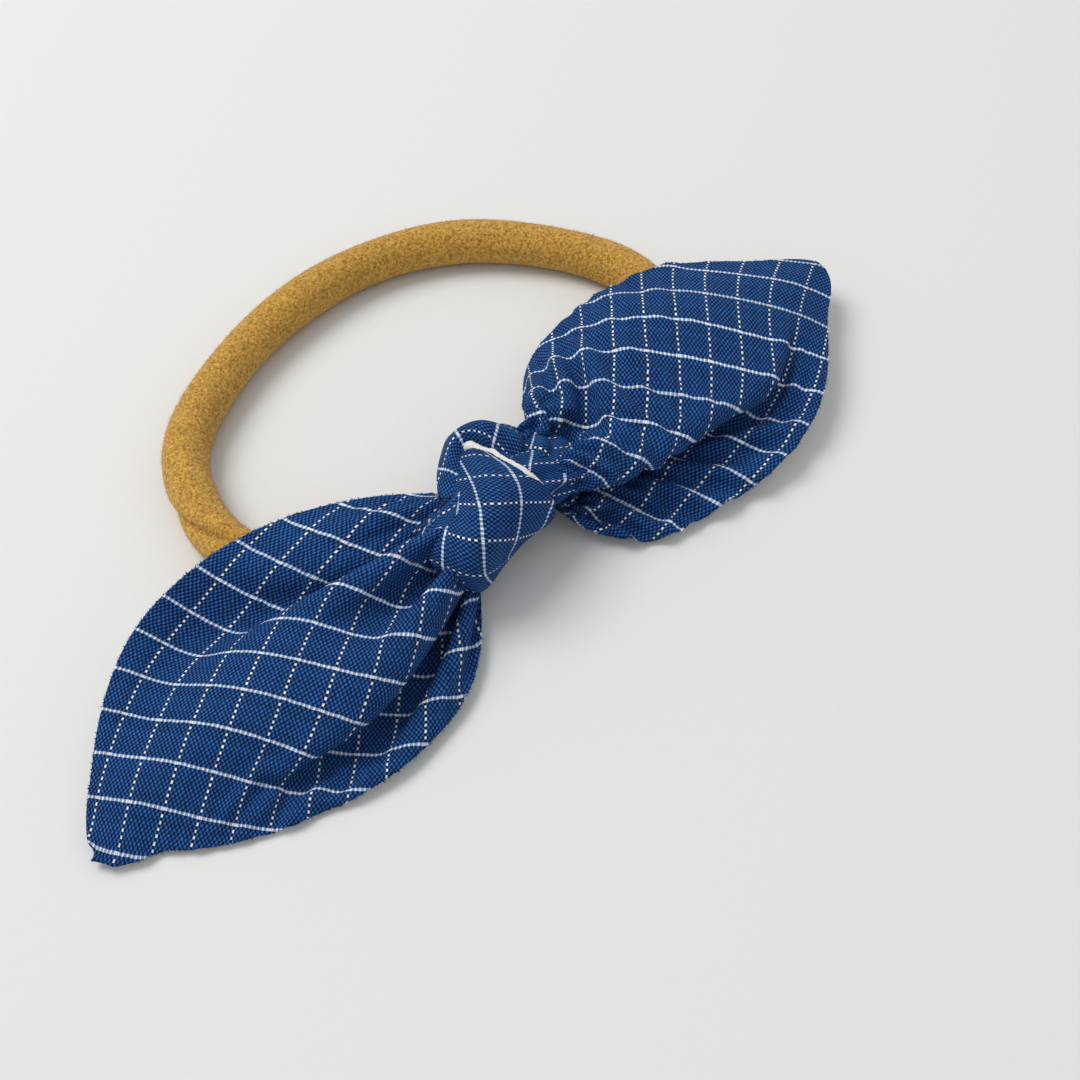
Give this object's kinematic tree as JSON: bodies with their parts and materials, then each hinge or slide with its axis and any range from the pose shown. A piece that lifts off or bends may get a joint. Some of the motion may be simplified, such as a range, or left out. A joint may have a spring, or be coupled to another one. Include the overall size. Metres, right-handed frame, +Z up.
{
  "type": "knotted fabric hair bow headband",
  "caption": "Knotted fabric bow with wide pleated leaf-shaped tails, tied round a soft rolled nylon headband loop that stretches over a child's head.",
  "frame": {"origin": "on the table, under the middle of the knot, on the flat underside of its lowest turn", "axes": "+X along the bow from its left tip to its right tip, which is also the band's straight run; +Y to the side of the loop that goes round the head; +Z up, away from the table"},
  "size_m": [0.1416, 0.0777, 0.0152],
  "materials": {
    "mustard_nylon": "brushed velvety knit nylon, mustard",
    "mustard_thread": "twisted polyester thread",
    "check_cotton": "plain-weave navy and blue yarn-dyed cotton with a white windowpane check",
    "white_backing": "matt off-white cotton backing"
  },
  "bodies": {
    "headband": {"headband_band": "mustard_nylon", "headband_join_stitches": "mustard_thread"},
    "inner_turn": {"knot_inner_turn": "white_backing"},
    "knot": {"knot_core_pleats": "check_cotton", "knot_under_turn_face": "check_cotton", "knot_under_turn_backing": "white_backing", "knot_front_wrap_face": "check_cotton", "knot_front_wrap_backing": "white_backing", "knot_top_loop_face": "check_cotton", "knot_top_loop_backing": "white_backing"},
    "left_tail": {"left_tail_face": "check_cotton", "left_tail_backing": "white_backing"},
    "right_tail": {"right_tail_face": "check_cotton", "right_tail_backing": "white_backing"}
  },
  "joints": [
    {"name": "bow_slides_on_band", "type": "slide", "parent": "headband", "child": "inner_turn", "axis": [1, 0, 0], "range_m": [-0.003, 0.003]},
    {"name": "bow_rolls_on_band", "type": "hinge", "parent": "inner_turn", "child": "knot", "pos_m": [0, 0, 0.005], "axis": [1, 0, 0], "range_deg": [0, 90]},
    {"name": "left_tail_lifts", "type": "hinge", "parent": "knot", "child": "left_tail", "pos_m": [-0.0124, -0.006, 0.011], "axis": [0, 1, 0], "range_deg": [0, 60]},
    {"name": "right_tail_lifts", "type": "hinge", "parent": "knot", "child": "right_tail", "pos_m": [0.0142, -0.006, 0.0112], "axis": [0, -1, 0], "range_deg": [0, 60]}
  ]
}
